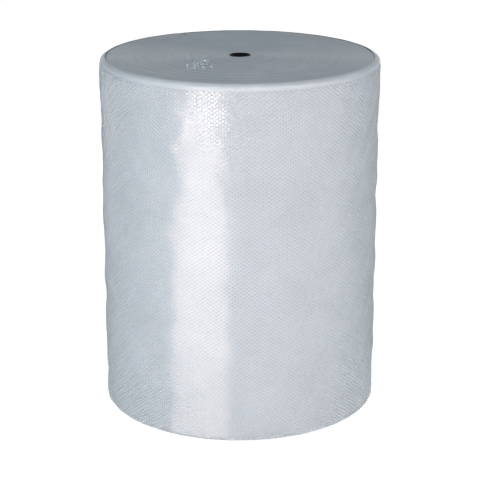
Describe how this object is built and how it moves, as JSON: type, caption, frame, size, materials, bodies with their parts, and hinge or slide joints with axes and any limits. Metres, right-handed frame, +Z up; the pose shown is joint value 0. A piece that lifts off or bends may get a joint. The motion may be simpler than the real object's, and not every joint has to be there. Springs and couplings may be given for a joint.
{
  "type": "bubble cushioning film roll",
  "caption": "Large roll of small-bubble cushioning film wound on a plastic core tube, standing on its end.",
  "frame": {"origin": "on the core's axis, at the level that the roll stands on", "axes": "+Z up along the core; -Y is the side that the picture shows, and the free end of the web is behind"},
  "size_m": [0.9576, 0.9554, 1.219],
  "materials": {
    "bubble_film": "clear bubble film, wound many turns deep, pale blue-grey",
    "core_plastic": "black extruded plastic tube"
  },
  "bodies": {
    "root": {"bubble_film": "bubble_film", "core_tube": "core_plastic"}
  },
  "joints": []
}
